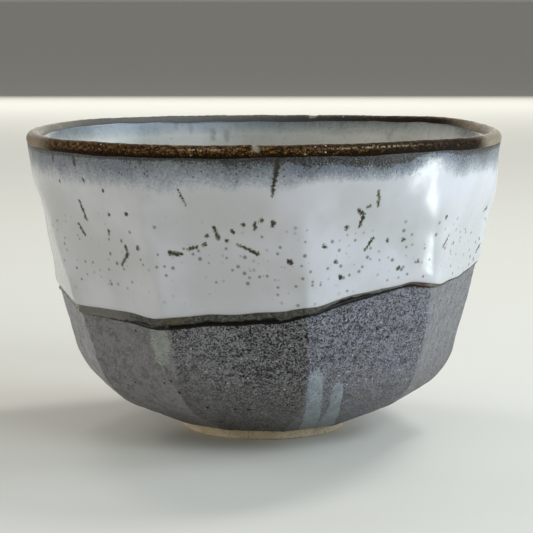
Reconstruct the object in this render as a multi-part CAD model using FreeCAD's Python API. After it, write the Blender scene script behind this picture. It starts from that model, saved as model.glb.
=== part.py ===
import FreeCAD, Part
import math
import os

# Matcha bowl: a thrown stoneware bowl with ten faceted sides, its foot ring and its fired coats.
# Millimetres and degrees. +Z is up, the axis of the bowl is Z, and it stands on z = 0.
# Azimuth 0 is the front (-Y), and positive azimuths turn towards +X.

# Foot ring
FOOT_HEIGHT = 2.6
FOOT_TOP_RADIUS = 21.3
FOOT_WAIST_RADIUS = 20.7
FOOT_BASE_RADIUS = 21.0
FOOT_EDGE_ROUND = 0.4
FOOT_INNER_RADIUS = 15.2
FOOT_INNER_TAPER = 0.7

# Hollow under the body, inside the foot ring
RECESS_DEPTH = 0.9
RECESS_CROWN = 0.5

# Clay body, outside: a straight underside, a round hip and a slightly bowed wall, all tangent
BODY_START_RADIUS = 22.6
UNDERSIDE_SLOPE = 23.5
UNDERSIDE_LENGTH = 16.4
HIP_RADIUS = 18.0
WALL_LOW_SLOPE = 72.9
WALL_RADIUS = 330.0
WALL_HIGH_SLOPE = 82.5

# Clay body, inside: a round lip, a straight wall, a round hip and a dished floor
LIP_RADIUS = 1.1
INNER_WALL_SLOPE = 73.3
INNER_WALL_LENGTH = 46.5
INNER_HIP_RADIUS = 27.8
FLOOR_HEIGHT = 7.8
TEA_POOL_RADIUS = 13.0
TEA_POOL_DEPTH = 0.9

# Ten facets: azimuth of each ridge, and where the facets run out below the lip
RIDGE_AZIMUTHS = (-94, -61, -25.5, 12, 50.5, 86, 121.5, 157, 192.5, 229)
FACET_RUNOUT_SLOPE = 78.8
FACET_RUNOUT_MIDDLE = (56.0, 61.0)
FACET_RUNOUT_END = (61.2, 73.0)

# Thickness of the coats over the clay
GLAZE_COAT = 0.8
HEM_COAT = 0.55
SLIP_COAT = 0.3

# Height of the iron band's lower edge, and the wavy lower edge of the white glaze round the body:
# (azimuth, height, width of the hem under it)
BAND_LOW = 73.5
GLAZE_EDGE = ((-60, 35.0, 2.3), (-30, 34.4, 2.8), (0, 36.9, 2.6), (20, 39.2, 1.4),
              (42, 42.2, 0.9), (63, 40.9, 0.8), (90, 43.6, 0.9), (132, 40.4, 1.6),
              (176, 41.6, 2.4), (220, 38.2, 2.8), (262, 36.5, 2.8))
KNIFE_INNER = 10.0
KNIFE_OUTER = 75.0

# Smooth marks in the slip, as seen from the front: (x, z) at the top and foot, and both half widths
GLAZE_RUN = ((-24.4, 34.0), (-23.9, 23.6), 3.2, 1.4)
FINGER_MARKS = (((12.3, 20.8), (11.2, 1.0), 2.0, 1.8),
                ((18.2, 17.2), (16.2, 1.0), 1.5, 2.2))

REACH = 90.0


def point(radius, height):
    return FreeCAD.Vector(radius, 0, height)


def offset_point(centre, radius, slope):
    """The point of a circle where the outline, walked anticlockwise, has this slope."""
    angle = math.radians(slope)
    return centre + point(radius * math.sin(angle), -radius * math.cos(angle))


def arc(first, middle, last):
    return Part.Arc(first, middle, last).toBSpline().toShape()


def round_stretch(centre, radius, first_slope, last_slope):
    middle_slope = (first_slope + last_slope) / 2
    return arc(offset_point(centre, radius, first_slope),
               offset_point(centre, radius, middle_slope),
               offset_point(centre, radius, last_slope))


def line(first, last):
    return Part.LineSegment(first, last).toShape()


def revolve(edges):
    face = Part.Face(Part.Wire(edges))
    return face.revolve(FreeCAD.Vector(), FreeCAD.Vector(0, 0, 1), 360)


# Centres of the outline's circles, worked out from the foot upwards
UNDERSIDE_ANGLE = math.radians(UNDERSIDE_SLOPE)
BODY_START = point(BODY_START_RADIUS, FOOT_HEIGHT)
HIP_START = BODY_START + point(UNDERSIDE_LENGTH * math.cos(UNDERSIDE_ANGLE),
                               UNDERSIDE_LENGTH * math.sin(UNDERSIDE_ANGLE))
HIP_CENTRE = HIP_START - offset_point(point(0, 0), HIP_RADIUS, UNDERSIDE_SLOPE)
WALL_CENTRE = HIP_CENTRE + offset_point(point(0, 0), HIP_RADIUS - WALL_RADIUS, WALL_LOW_SLOPE)
LIP_CENTRE = WALL_CENTRE + offset_point(point(0, 0), WALL_RADIUS - LIP_RADIUS, WALL_HIGH_SLOPE)

# Inside, from the lip downwards: the floor's circle is centred on the axis and touches the inner hip
LIP_LAST_SLOPE = 180 + INNER_WALL_SLOPE
INNER_WALL_ANGLE = math.radians(INNER_WALL_SLOPE)
INNER_HIP_CENTRE = (LIP_CENTRE
                    - point(INNER_WALL_LENGTH * math.cos(INNER_WALL_ANGLE),
                            INNER_WALL_LENGTH * math.sin(INNER_WALL_ANGLE))
                    + offset_point(point(0, 0), LIP_RADIUS + INNER_HIP_RADIUS, LIP_LAST_SLOPE))
HIP_RISE = INNER_HIP_CENTRE.z - FLOOR_HEIGHT
FLOOR_RADIUS = ((INNER_HIP_CENTRE.x ** 2 + HIP_RISE ** 2 - INNER_HIP_RADIUS ** 2)
                / (2 * (HIP_RISE - INNER_HIP_RADIUS)))
FLOOR_CENTRE = point(0, FLOOR_HEIGHT + FLOOR_RADIUS)
FLOOR_LAST_SLOPE = math.degrees(math.asin(INNER_HIP_CENTRE.x / (FLOOR_RADIUS - INNER_HIP_RADIUS)))


def outside_edges(coat):
    """The outside of the body from the foot to the lip, grown outwards by a coat."""
    start = offset_point(BODY_START, coat, UNDERSIDE_SLOPE)
    hip = offset_point(HIP_CENTRE, HIP_RADIUS + coat, UNDERSIDE_SLOPE)
    return [line(start, hip),
            round_stretch(HIP_CENTRE, HIP_RADIUS + coat, UNDERSIDE_SLOPE, WALL_LOW_SLOPE),
            round_stretch(WALL_CENTRE, WALL_RADIUS + coat, WALL_LOW_SLOPE, WALL_HIGH_SLOPE)]


def inside_edges(coat):
    """The lip, inner wall, inner hip, floor and tea pool, from the lip to the axis."""
    hip_radius = INNER_HIP_RADIUS - coat
    floor_radius = FLOOR_RADIUS - coat
    lip_last = offset_point(LIP_CENTRE, LIP_RADIUS + coat, LIP_LAST_SLOPE)
    hip_first = offset_point(INNER_HIP_CENTRE, hip_radius, INNER_WALL_SLOPE)
    pool_slope = math.degrees(math.asin(TEA_POOL_RADIUS / floor_radius))
    pool_edge = offset_point(FLOOR_CENTRE, floor_radius, pool_slope)
    pool_floor = point(0, FLOOR_HEIGHT + coat - TEA_POOL_DEPTH)
    pool_middle = point(TEA_POOL_RADIUS / 2, (3 * pool_floor.z + pool_edge.z) / 4)
    return [round_stretch(LIP_CENTRE, LIP_RADIUS + coat, WALL_HIGH_SLOPE, LIP_LAST_SLOPE),
            line(lip_last, hip_first),
            round_stretch(INNER_HIP_CENTRE, hip_radius, INNER_WALL_SLOPE, FLOOR_LAST_SLOPE),
            round_stretch(FLOOR_CENTRE, floor_radius, FLOOR_LAST_SLOPE, pool_slope),
            arc(pool_edge, pool_middle, pool_floor)]


def underside_edges(coat):
    """From the axis over the hollow under the floor and out to where the body's outside starts."""
    crown = point(0, FOOT_HEIGHT + RECESS_DEPTH - RECESS_CROWN)
    recess_edge = point(FOOT_INNER_RADIUS - FOOT_INNER_TAPER, FOOT_HEIGHT + RECESS_DEPTH)
    foot_edge = point(FOOT_INNER_RADIUS, FOOT_HEIGHT)
    edges = [line(crown, recess_edge), line(recess_edge, foot_edge), line(foot_edge, BODY_START)]
    if coat > 0:
        edges.append(line(BODY_START, offset_point(BODY_START, coat, UNDERSIDE_SLOPE)))
    return edges


def closed_on_axis(edges):
    first = edges[0].Vertexes[0].Point
    last = edges[-1].Vertexes[-1].Point
    return edges + [line(last, first)]


def facet_outline(half_width, coat):
    """What a facet leaves standing, in its own upright middle plane: x is outwards from the axis."""
    inward = math.cos(math.radians(half_width))

    def flatten(vertex):
        return point(vertex.x * inward, vertex.z)

    def flat_stretch(centre, radius, first_slope, last_slope):
        middle_slope = (first_slope + last_slope) / 2
        slopes = (first_slope, middle_slope, last_slope)
        return arc(*[flatten(offset_point(centre, radius, slope)) for slope in slopes])

    start = flatten(offset_point(BODY_START, coat, UNDERSIDE_SLOPE))
    hip = flatten(offset_point(HIP_CENTRE, HIP_RADIUS + coat, UNDERSIDE_SLOPE))
    under = start + (start - hip)
    runout = flatten(offset_point(WALL_CENTRE, WALL_RADIUS + coat, FACET_RUNOUT_SLOPE))
    middle = point(FACET_RUNOUT_MIDDLE[0] + coat, FACET_RUNOUT_MIDDLE[1])
    end = point(FACET_RUNOUT_END[0] + coat, FACET_RUNOUT_END[1])
    corners = [point(end.x, REACH), point(-REACH, REACH), point(-REACH, under.z)]
    return [line(under, hip),
            flat_stretch(HIP_CENTRE, HIP_RADIUS + coat, UNDERSIDE_SLOPE, WALL_LOW_SLOPE),
            flat_stretch(WALL_CENTRE, WALL_RADIUS + coat, WALL_LOW_SLOPE, FACET_RUNOUT_SLOPE),
            arc(runout, middle, end),
            line(end, corners[0]),
            line(corners[0], corners[1]),
            line(corners[1], corners[2]),
            line(corners[2], under)]


def cut_facets(solid, coat):
    """Shave the sides flat between each ridge and the next."""
    following = RIDGE_AZIMUTHS[1:] + (RIDGE_AZIMUTHS[0] + 360,)
    for first, last in zip(RIDGE_AZIMUTHS, following):
        face = Part.Face(Part.Wire(facet_outline((last - first) / 2, coat)))
        face.translate(FreeCAD.Vector(0, -REACH, 0))
        block = face.extrude(FreeCAD.Vector(0, 2 * REACH, 0))
        block.rotate(FreeCAD.Vector(), FreeCAD.Vector(0, 0, 1), (first + last) / 2 - 90)
        solid = solid.common(block)
    return solid


def hollow_body(coat):
    """The body with its inside, grown all over by a coat."""
    edges = underside_edges(coat) + outside_edges(coat) + inside_edges(coat)
    return cut_facets(revolve(closed_on_axis(edges)), coat)


def filled_body(coat):
    """The body's outside alone, filled to the axis."""
    edges = underside_edges(coat) + outside_edges(coat)
    top = edges[-1].Vertexes[-1].Point
    edges.append(line(top, point(0, top.z)))
    return cut_facets(revolve(closed_on_axis(edges)), coat)


def wavy_loop(radius, hem_share):
    """A smooth loop along the glaze's edge, or a share of the hem's width below it."""
    places = []
    for azimuth, height, hem_width in GLAZE_EDGE:
        angle = math.radians(azimuth)
        level = height - hem_share * hem_width
        places.append(FreeCAD.Vector(radius * math.sin(angle), -radius * math.cos(angle), level))
    curve = Part.BSplineCurve()
    curve.interpolate(Points=places, PeriodicFlag=True)
    return curve.toShape()


def below_edge(hem_share):
    """Everything round the body under a wavy loop."""
    top = Part.makeRuledSurface(wavy_loop(KNIFE_INNER, hem_share), wavy_loop(KNIFE_OUTER, hem_share))
    return top.extrude(FreeCAD.Vector(0, 0, -REACH))


def stroke(high, low, high_half, low_half):
    """A tapering stroke with a round top and foot, drawn on the front and pushed through to the axis."""
    top = FreeCAD.Vector(high[0], 0, high[1])
    foot = FreeCAD.Vector(low[0], 0, low[1])
    along = (top - foot).normalize()
    across = FreeCAD.Vector(along.z, 0, -along.x)
    left_foot = foot - across * low_half
    right_foot = foot + across * low_half
    left_top = top - across * high_half
    right_top = top + across * high_half
    edges = [line(left_foot, left_top),
             arc(left_top, top + along * high_half, right_top),
             line(right_top, right_foot),
             arc(right_foot, foot - along * low_half, left_foot)]
    return Part.Face(Part.Wire(edges)).extrude(FreeCAD.Vector(0, -REACH, 0))


def outermost(shape):
    return max(shape.Solids, key=lambda solid: solid.BoundBox.XLength)


def innermost(shape):
    return min(shape.Solids, key=lambda solid: solid.BoundBox.XLength)


def foot_ring():
    waist = point(FOOT_WAIST_RADIUS, FOOT_HEIGHT / 2)
    outer_base = point(FOOT_BASE_RADIUS, FOOT_EDGE_ROUND)
    outer_rest = point(FOOT_BASE_RADIUS - FOOT_EDGE_ROUND, 0)
    inner_base = FOOT_INNER_RADIUS + FOOT_INNER_TAPER
    inner_rest = point(inner_base + FOOT_EDGE_ROUND, 0)
    inner_side = point(inner_base, FOOT_EDGE_ROUND)
    outer_top = point(FOOT_TOP_RADIUS, FOOT_HEIGHT)
    inner_top = point(FOOT_INNER_RADIUS, FOOT_HEIGHT)
    return revolve([line(inner_top, outer_top),
                    arc(outer_top, waist, outer_base),
                    line(outer_base, outer_rest),
                    line(outer_rest, inner_rest),
                    line(inner_rest, inner_side),
                    line(inner_side, inner_top)])


def build():
    clay = hollow_body(0)
    coated = hollow_body(GLAZE_COAT).cut(clay)
    above_band = Part.makeBox(2 * REACH, 2 * REACH, REACH, FreeCAD.Vector(-REACH, -REACH, BAND_LOW))
    sides = coated.cut(above_band)
    filled_clay = filled_body(0)
    below_white = below_edge(0)
    below_hem = below_edge(1)
    hem = filled_body(HEM_COAT).cut(filled_clay).common(below_white).cut(below_hem)
    slip = filled_body(SLIP_COAT).cut(filled_clay).common(below_hem)
    run = stroke(*GLAZE_RUN)
    marks = Part.makeCompound([stroke(*mark) for mark in FINGER_MARKS])
    return {
        "clay_body": clay,
        "foot_ring": foot_ring(),
        "inner_glaze": innermost(sides),
        "outer_glaze": outermost(sides).cut(below_white),
        "rim_band": coated.common(above_band),
        "ash_glaze_hem": hem,
        "slip_coat": slip.cut(run).cut(marks),
        "glaze_run": slip.common(run),
        "finger_marks": slip.common(marks),
    }


os.makedirs("parts", exist_ok=True)
for name, shape in build().items():
    solids = shape.Solids
    kept = solids[0] if len(solids) == 1 else Part.makeCompound(solids)
    kept.exportStep(os.path.join("parts", name + ".step"))
    box = kept.BoundBox
    print(name, len(solids), "solid(s), volume", round(kept.Volume), "valid", kept.isValid(),
          "z", round(box.ZMin, 2), round(box.ZMax, 2), "x", round(box.XMin, 2), round(box.XMax, 2))
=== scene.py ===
import bpy
import math
import numpy as np
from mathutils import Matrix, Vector


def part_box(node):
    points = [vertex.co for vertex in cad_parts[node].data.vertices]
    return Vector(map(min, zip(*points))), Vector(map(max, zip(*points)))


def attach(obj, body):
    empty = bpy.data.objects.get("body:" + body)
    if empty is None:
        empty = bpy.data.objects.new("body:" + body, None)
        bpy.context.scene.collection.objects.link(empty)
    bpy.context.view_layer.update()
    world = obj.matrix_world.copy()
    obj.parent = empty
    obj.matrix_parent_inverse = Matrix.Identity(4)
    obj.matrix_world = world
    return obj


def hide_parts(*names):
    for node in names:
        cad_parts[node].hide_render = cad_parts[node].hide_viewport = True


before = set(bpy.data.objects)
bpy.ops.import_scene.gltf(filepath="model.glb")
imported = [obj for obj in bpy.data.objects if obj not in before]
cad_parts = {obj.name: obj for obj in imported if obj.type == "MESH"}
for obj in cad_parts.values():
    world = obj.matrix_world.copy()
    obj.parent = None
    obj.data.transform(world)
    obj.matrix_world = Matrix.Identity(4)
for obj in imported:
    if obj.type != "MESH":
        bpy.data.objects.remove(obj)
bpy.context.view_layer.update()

# Shapes are worked out in millimetres and degrees, and MM turns them into the frame's metres.
# Azimuth 0 is the front (-Y), and positive azimuths turn towards +X, as in the design.
MM = 0.001

# ---- camera
CAMERA_DISTANCE = 0.510
CAMERA_HEIGHT = 0.1093
CAMERA_SIDESTEP = 0.00067
CAMERA_PITCH = 7.64
CAMERA_LENS = 135.1

# ---- the clay's profile, from the design
FOOT_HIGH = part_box("foot_ring")[1]
FOOT_HEIGHT = FOOT_HIGH.z / MM
FOOT_RADIUS = FOOT_HIGH.x / MM
FOOT_INNER_RADIUS = 15.2
BODY_START_RADIUS = 22.6
UNDERSIDE_SLOPE = 23.5
UNDERSIDE_LENGTH = 16.4
HIP_RADIUS = 18.0
WALL_LOW_SLOPE = 72.9
WALL_RADIUS = 330.0
WALL_HIGH_SLOPE = 82.5
LIP_RADIUS = 1.1
INNER_WALL_SLOPE = 73.3
INNER_WALL_LENGTH = 46.5
INNER_HIP_RADIUS = 27.8
FLOOR_HEIGHT = 7.8
TEA_POOL_RADIUS = 13.0
TEA_POOL_DEPTH = 0.9
RIDGE_AZIMUTHS = (-94, -61, -25.5, 12, 50.5, 86, 121.5, 157, 192.5, 229)
LEAN_HEIGHTS = (12, 31, 45, 61)
RIDGE_LEAN = (0, 0, -2.2, -4.2)
SECOND_RIDGE_LEAN = (5.0, 2.6, 0.7, -0.8)

# Coats over the clay
GLAZE_COAT = 0.8
HEM_COAT = 0.5
BEAD_COAT = 0.72
SLIP_COAT = 0.3
COAT_BACK = 0.02

# How far the coats reach under one another, and where the last ring inside leaves room for its cap
BAND_OVERLAP = 0.35
HEM_UNDER_WHITE = 0.9
SLIP_UNDER_HEM = 0.5
MIDDLE_GAP = 0.4

# Where the coats end: (azimuth, height of the white glaze's edge, width of the hem under it)
GLAZE_EDGE = ((-78, 35.6, 1.4), (-60, 35.0, 2.0), (-45, 35.1, 2.6), (-30, 34.4, 2.9), (-15, 35.9, 2.8),
              (0, 36.6, 2.8), (5, 37.0, 2.9), (8, 37.7, 2.8), (11, 38.1, 2.2), (14, 38.1, 2.0),
              (18, 39.1, 1.9), (27, 40.5, 1.7), (31, 41.1, 1.5), (38, 41.6, 0.9), (42, 42.5, 1.2),
              (48, 41.4, 1.1), (56, 40.6, 0.5), (70, 40.7, 0.3), (88, 43.9, 0.4),
              (112, 41.6, 1.2), (140, 39.8, 2.2), (176, 41.6, 2.0), (205, 38.6, 2.8), (240, 37.4, 2.4))


def smooth(low, high, value):
    """0 below low, 1 above high, and an easy curve between them."""
    share = np.clip((np.asarray(value, float) - low) / (high - low), 0, 1)
    return share * share * (3 - 2 * share)


def bump_at(middle, width, value):
    """A soft hump, 1 at the middle."""
    return np.exp(-((np.asarray(value, float) - middle) / width) ** 2)


def turn(azimuth, middle=0.0):
    """Azimuth from a middle, within half a turn either way."""
    return (np.asarray(azimuth, float) - middle + 180) % 360 - 180


def swell(azimuth, middle, width):
    """A soft hump round the bowl, 1 at the middle azimuth."""
    return bump_at(0, width, turn(azimuth, middle))


# ---- the clay's skin
def normal_of(slope):
    angle = np.radians(slope)
    return np.stack([np.sin(angle), -np.cos(angle)], -1)


def along(slope):
    angle = np.radians(slope)
    return np.stack([np.cos(angle), np.sin(angle)], -1)


def make_skin():
    """Length, place and slope at close steps of the clay's skin.

    It runs from the foot joint, over the lip and down to the middle of the floor.
    """
    step = 0.05
    start = np.array([BODY_START_RADIUS, FOOT_HEIGHT])
    hip_start = start + UNDERSIDE_LENGTH * along(UNDERSIDE_SLOPE)
    hip_centre = hip_start - HIP_RADIUS * normal_of(UNDERSIDE_SLOPE)
    wall_centre = hip_centre + (HIP_RADIUS - WALL_RADIUS) * normal_of(WALL_LOW_SLOPE)
    lip_centre = wall_centre + (WALL_RADIUS - LIP_RADIUS) * normal_of(WALL_HIGH_SLOPE)
    lip_last = 180 + INNER_WALL_SLOPE
    inner_wall = lip_centre + LIP_RADIUS * normal_of(lip_last)
    inner_hip = inner_wall + INNER_WALL_LENGTH * along(lip_last)
    inner_hip_centre = inner_hip + INNER_HIP_RADIUS * normal_of(lip_last)
    rise = inner_hip_centre[1] - FLOOR_HEIGHT
    floor_radius = ((inner_hip_centre[0] ** 2 + rise ** 2 - INNER_HIP_RADIUS ** 2)
                    / (2 * (rise - INNER_HIP_RADIUS)))
    floor_centre = np.array([0.0, FLOOR_HEIGHT + floor_radius])
    floor_slope = 180 + math.degrees(math.asin(inner_hip_centre[0] / (floor_radius - INNER_HIP_RADIUS)))

    places, slopes = [], []

    def straight(first, length, slope):
        share = np.linspace(0, length, max(2, round(length / step)), endpoint=False)[:, None]
        places.append(first + share * along(slope))
        slopes.append(np.full(len(share), float(slope)))

    def round_stretch(centre, radius, first, last):
        count = max(8, round(abs(math.radians(last - first)) * abs(radius) / step))
        slope = np.linspace(first, last, count, endpoint=False)
        places.append(centre + radius * normal_of(slope))
        slopes.append(slope)

    straight(start, UNDERSIDE_LENGTH, UNDERSIDE_SLOPE)
    round_stretch(hip_centre, HIP_RADIUS, UNDERSIDE_SLOPE, WALL_LOW_SLOPE)
    round_stretch(wall_centre, WALL_RADIUS, WALL_LOW_SLOPE, WALL_HIGH_SLOPE)
    round_stretch(lip_centre, LIP_RADIUS, WALL_HIGH_SLOPE, lip_last)
    straight(inner_wall, INNER_WALL_LENGTH, lip_last)
    round_stretch(inner_hip_centre, -INNER_HIP_RADIUS, lip_last, floor_slope)
    round_stretch(floor_centre, -floor_radius, floor_slope, 180)
    tea_pool = places[-1]
    pool_edge = smooth(0.75 * TEA_POOL_RADIUS, 1.1 * TEA_POOL_RADIUS, tea_pool[:, 0])
    tea_pool[:, 1] -= TEA_POOL_DEPTH * (1 - pool_edge)
    place = np.concatenate(places)
    length = np.concatenate([[0], np.cumsum(np.hypot(*np.diff(place, axis=0).T))])
    return length, place, np.concatenate(slopes)


SKIN_LENGTH, SKIN_PLACE, SKIN_SLOPE = make_skin()
SKIN_END = SKIN_LENGTH[-1] - MIDDLE_GAP
LIP_TOP = float(SKIN_LENGTH[np.argmax(SKIN_PLACE[:, 1])])
OUTSIDE = SKIN_LENGTH < LIP_TOP


def length_at_height(height):
    """How far up the outside of the skin a height is."""
    return np.interp(height, SKIN_PLACE[OUTSIDE, 1], SKIN_LENGTH[OUTSIDE])


def height_at(length):
    return np.interp(length, SKIN_LENGTH, SKIN_PLACE[:, 1])


def ridge_azimuth(number, height):
    """Where a ridge stands at a height. Ridges lean to the left as they rise, the second one less."""
    number = number % len(RIDGE_AZIMUTHS)
    azimuth = RIDGE_AZIMUTHS[number] + np.interp(height, LEAN_HEIGHTS, RIDGE_LEAN)
    if number == 1:
        azimuth = azimuth + np.interp(height, LEAN_HEIGHTS, SECOND_RIDGE_LEAN)
    return azimuth


def facetted(azimuth, radius, height):
    """The radius left once ten flats are shaved off a round outside, with softened ridges.

    The flats run out in arches below the lip, and the glaze over their ridges softens them more.
    """
    extra = 0.55 * swell(azimuth, 46, 16) + 0.5 * swell(azimuth, -46, 26)
    softness = 0.14 + (0.50 + extra) * smooth(36, 50, height)
    runout = 0.0125 * np.maximum(height - 51, 0) ** 2
    total = np.exp(-2.2 * (1 - smooth(50, 66, height)) / softness)
    for number in range(len(RIDGE_AZIMUTHS)):
        first = ridge_azimuth(number, height)
        width = (ridge_azimuth(number + 1, height) - first) % 360
        away = np.radians(turn(azimuth, first + width / 2))
        flat = (radius * np.cos(np.radians(width / 2)) + runout) / np.maximum(np.cos(away), 0.2)
        total = total + np.exp(-np.clip((flat - radius) / softness, -60, 60))
    return radius - softness * np.log(total)


def hand(azimuth, height):
    """How far the potter's hand left the wall off the true round."""
    a = np.radians(azimuth)
    fuller_left = 0.75 * swell(azimuth, -88, 42) * (1 - smooth(48, 72, height))
    fuller_right = 0.45 * swell(azimuth, 42, 26) * (1 - smooth(10, 34, height))
    leaner_left = -0.4 * swell(azimuth, -36, 18) * (1 - smooth(8, 22, height))
    fuller_side = swell(azimuth, 90, 30) * smooth(4, 12, height) * (1 - smooth(64, 73, height))
    fuller_side = fuller_side * (0.62 + 0.35 * bump_at(17, 8, height))
    throwing = 0.10 * np.sin(0.42 * height + 0.9 * np.sin(a + 1)) * smooth(12, 30, height)
    roll = 0.10 * np.sin(3 * a + 0.6) + 0.07 * np.sin(5 * a + 2.1 + 0.05 * height)
    fuller = fuller_left + fuller_right + leaner_left + fuller_side
    return fuller + throwing + roll * smooth(4, 20, height)


def lip_wave(azimuth):
    """How far the lip stands above or below level."""
    a = np.radians(azimuth)
    high = 0.42 * swell(azimuth, -128, 34) + 0.25 * swell(azimuth, 172, 30)
    low = -0.28 * swell(azimuth, -60, 22)
    high = high + 1.15 * swell(azimuth, 124, 24) + 0.38 * swell(azimuth, 34, 30)
    return high + low + 0.06 * np.sin(5 * a + 0.7) + 0.04 * np.sin(9 * a + 1.9)


def place_on_skin(azimuth, length, coat):
    """Points in millimetres on the skin grown by a coat. The arguments broadcast together."""
    azimuth, length, coat = np.broadcast_arrays(azimuth, length, coat)
    slope = np.interp(length, SKIN_LENGTH, SKIN_SLOPE)
    radius = np.interp(length, SKIN_LENGTH, SKIN_PLACE[:, 0])
    height = height_at(length)
    outward = normal_of(slope)
    radius = radius + coat * outward[..., 0]
    height = height + coat * outward[..., 1]
    outside = length <= LIP_TOP
    radius = np.where(outside, facetted(azimuth, radius, height), radius)
    radius = radius + hand(azimuth, height) * np.where(outside, 1, smooth(62, 72, height))
    height = height + lip_wave(azimuth) * smooth(56, 75, height)
    angle = np.radians(azimuth)
    return np.stack([radius * np.sin(angle), -radius * np.cos(angle), height], -1)


def by_flat(azimuth, height, values, softness=0.45):
    """A value for each of the ten flats, changing at the ridges between them."""
    total, weight = 0, 0
    for number, value in enumerate(values):
        first = ridge_azimuth(number, height)
        width = (ridge_azimuth(number + 1, height) - first) % 360
        share = smooth(-softness, softness, width / 2 - np.abs(turn(azimuth, first + width / 2)))
        total = total + value * share
        weight = weight + share
    return total / weight


def around_table(azimuth, rows, softness):
    """The columns of a table of azimuths, read smoothly round the bowl."""
    table = np.array(rows)
    around = np.concatenate([table[-3:, 0] - 360, table[:, 0], table[:3, 0] + 360])
    closed = np.concatenate([table[-3:], table, table[:3]])
    wrapped = (np.asarray(azimuth, float) - table[0, 0]) % 360 + table[0, 0]
    spread = softness * np.linspace(-1.7, 1.7, 13)
    weight = np.exp(-(spread / softness) ** 2)
    weight = weight / weight.sum()
    return [sum(w * np.interp(wrapped + d, around, closed[:, column]) for d, w in zip(spread, weight))
            for column in range(1, table.shape[1])]


def edge_lines(azimuth):
    """Lengths up the skin of the white glaze's edge and of the hem's edge, smooth and closed."""
    white, hem = around_table(azimuth, GLAZE_EDGE, 1.6)
    a = np.radians(azimuth)
    ripple = 0.10 * np.sin(17 * a + 1) + 0.08 * np.sin(29 * a + 2.2)
    white_length = length_at_height(white + ripple)
    hem_length = length_at_height(white - hem + 0.7 * ripple)
    return white_length, hem_length


# ---- meshes
def field(rows, columns, row_step, column_step, size, seed):
    """Smooth random relief with lumps of about one size, closed round the bowl, with a spread of 1."""
    noise = np.random.default_rng(seed).normal(size=(rows, columns))
    up = np.fft.fftfreq(rows, row_step)[:, None]
    across = np.fft.rfftfreq(columns, column_step)[None, :]
    reach = np.hypot(up, across) * size
    spectrum = np.fft.rfft2(noise) * np.exp(-((reach - 1) / 0.55) ** 2)
    relief = np.fft.irfft2(spectrum, s=(rows, columns))
    return relief / relief.std()


def mesh_piece(name, points, faces, values, material, slot, *replaced):
    """A smooth-shaded piece from points in millimetres, quads and triangles, and named point values."""
    mesh = bpy.data.meshes.new(name)
    corners = [np.asarray(group, int) for group in faces if len(group)]
    sides = np.concatenate([np.full(len(group), group.shape[1]) for group in corners])
    loops = np.concatenate([group.ravel() for group in corners])
    mesh.vertices.add(len(points))
    mesh.vertices.foreach_set("co", (np.asarray(points) * MM).ravel())
    mesh.loops.add(len(loops))
    mesh.loops.foreach_set("vertex_index", loops.astype(np.int32))
    mesh.polygons.add(len(sides))
    mesh.polygons.foreach_set("loop_start", np.concatenate([[0], np.cumsum(sides)[:-1]]).astype(np.int32))
    mesh.polygons.foreach_set("use_smooth", np.ones(len(sides), bool))
    mesh.update(calc_edges=True)
    for key, value in values.items():
        attribute = mesh.attributes.new(key, "FLOAT", "POINT")
        attribute.data.foreach_set("value", value.ravel().astype(np.float32))
    mesh.validate()
    mesh.materials.append(material)
    piece = bpy.data.objects.new(name, mesh)
    bpy.context.scene.collection.objects.link(piece)
    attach(piece, "root")
    if replaced:
        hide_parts(*replaced)
    return piece


def grid_faces(rows, columns, close_rows, close_columns=True):
    row = np.arange(rows if close_rows else rows - 1)[:, None]
    column = np.arange(columns if close_columns else columns - 1)[None, :]
    next_row = (row + 1) % rows
    next_column = (column + 1) % columns
    quads = np.stack([row * columns + column, row * columns + next_column,
                      next_row * columns + next_column, next_row * columns + column], -1)
    return quads.reshape(-1, 4)


def ring_piece(name, rings, values, material, slot, *replaced):
    """A piece whose rings go round its section and close on themselves."""
    rows, columns = rings.shape[:2]
    faces = [grid_faces(rows, columns, close_rows=True)]
    return mesh_piece(name, rings.reshape(-1, 3), faces, values, material, slot, *replaced)


def capped_piece(name, rings, values, material, slot, *replaced):
    """A piece whose rings run from one point of the axis round to another."""
    rows, columns = rings.shape[:2]
    first, last = rings[0].mean(0), rings[-1].mean(0)
    points = np.concatenate([rings.reshape(-1, 3), [first, last]])
    start, end = rows * columns, rows * columns + 1
    column = np.arange(columns)
    following = (column + 1) % columns
    low_cap = np.stack([following, column, np.full(columns, start)], -1)
    base = (rows - 1) * columns
    high_cap = np.stack([base + column, base + following, np.full(columns, end)], -1)
    padded = {key: np.concatenate([v.ravel(), [v[0].mean(), v[-1].mean()]]) for key, v in values.items()}
    faces = [grid_faces(rows, columns, close_rows=False), low_cap, high_cap]
    return mesh_piece(name, points, faces, padded, material, slot, *replaced)


def round_azimuths(columns, crowding=0.0):
    """Azimuths once round the bowl, closer together at the front when crowded."""
    even = np.linspace(-180, 180, columns, endpoint=False)[None, :]
    return even - np.degrees(crowding * np.sin(np.radians(even)))


def lengths_between(low, high, rows, start=0):
    """Lengths up the skin at even steps from low to high, or from high to low with a start of 1."""
    return low + np.linspace(start, 1 - start, rows)[:, None] * (high - low)


def coat(azimuth, low, high, thickness, values, back_rows=6):
    """Rings of a closed coat, up its face and back behind it, and the point values on them.

    Thickness and values are given for each row of the face. Behind it the values are the same as at
    the nearer edge.
    """
    face = place_on_skin(azimuth, lengths_between(low, high, len(thickness)), thickness)
    back = place_on_skin(azimuth, lengths_between(low, high, back_rows, start=1), COAT_BACK)
    half = back_rows // 2
    padded = {}
    for key, value in values.items():
        value = np.broadcast_to(value, thickness.shape)
        top = np.repeat(value[-1:], half, 0)
        bottom = np.repeat(value[:1], back_rows - half, 0)
        padded[key] = np.concatenate([value, top, bottom])
    return np.concatenate([face, back]), padded


def rolled_edge(distance, width):
    """Share of the full thickness at a distance from a coat's edge: a quarter-round roll."""
    share = np.clip(distance / width, 0, 1)
    return np.sqrt(1 - (1 - share) ** 2)


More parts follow.
